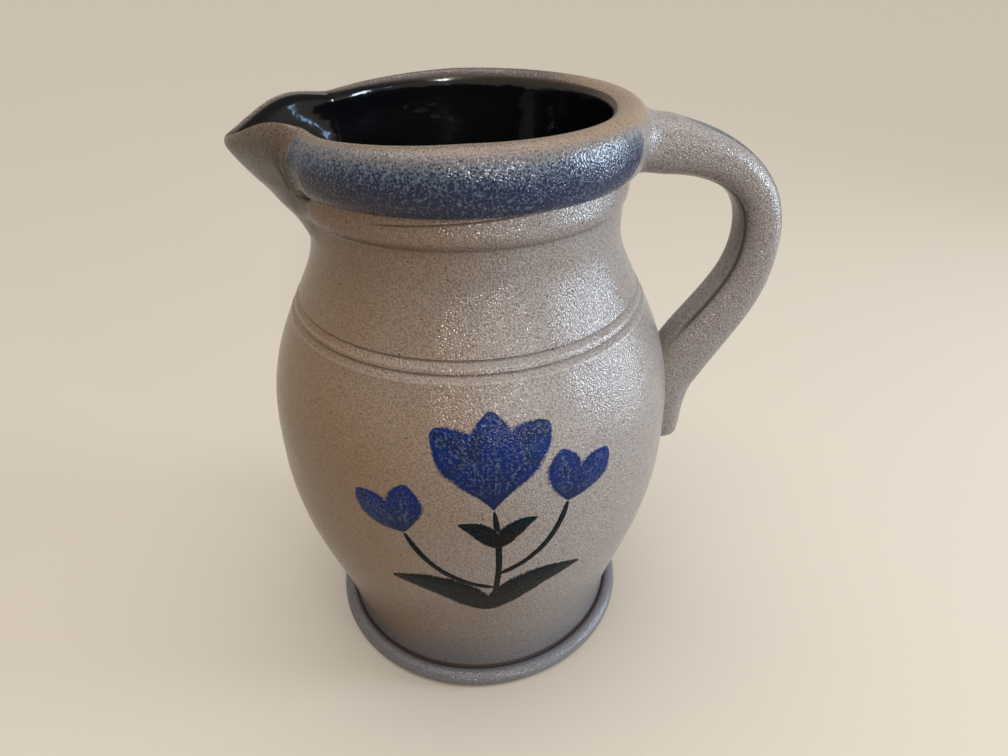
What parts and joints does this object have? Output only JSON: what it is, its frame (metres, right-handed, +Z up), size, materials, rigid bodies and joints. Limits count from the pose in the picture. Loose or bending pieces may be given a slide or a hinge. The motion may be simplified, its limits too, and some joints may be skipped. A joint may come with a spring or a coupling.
{
  "type": "stoneware pitcher",
  "caption": "Salt-glazed stoneware pitcher with a full belly, rolled collar, pulled spout and strap handle, for holding and pouring drinks.",
  "frame": {"origin": "centre of the flat base, on the surface that the pitcher stands on", "axes": "+Z up along the thrown body's axis, +X towards the handle, so the spout points along -X and the painted side faces -Y"},
  "size_m": [0.1921, 0.1542, 0.22],
  "materials": {
    "stoneware": "salt-glazed stoneware, grey to tan, with a fine orange-peel skin and iron specks",
    "liner_glaze": "glossy black liner glaze",
    "cobalt_slip": "brushed cobalt slip under salt glaze, mottled",
    "leaf_slip": "brushed green-black slip under salt glaze"
  },
  "bodies": {
    "root": {"thrown_body": "stoneware", "foot_ring": "stoneware", "neck_collar": "stoneware", "pouring_spout": "stoneware", "strap_handle": "stoneware", "body_liner": "liner_glaze", "collar_liner": "liner_glaze", "spout_liner": "liner_glaze", "cobalt_band_front": "cobalt_slip", "cobalt_band_back": "cobalt_slip", "handle_stroke": "cobalt_slip", "sprig_stems": "leaf_slip", "sprig_leaves": "leaf_slip", "sprig_blossom": "cobalt_slip", "sprig_buds": "cobalt_slip"}
  },
  "joints": []
}
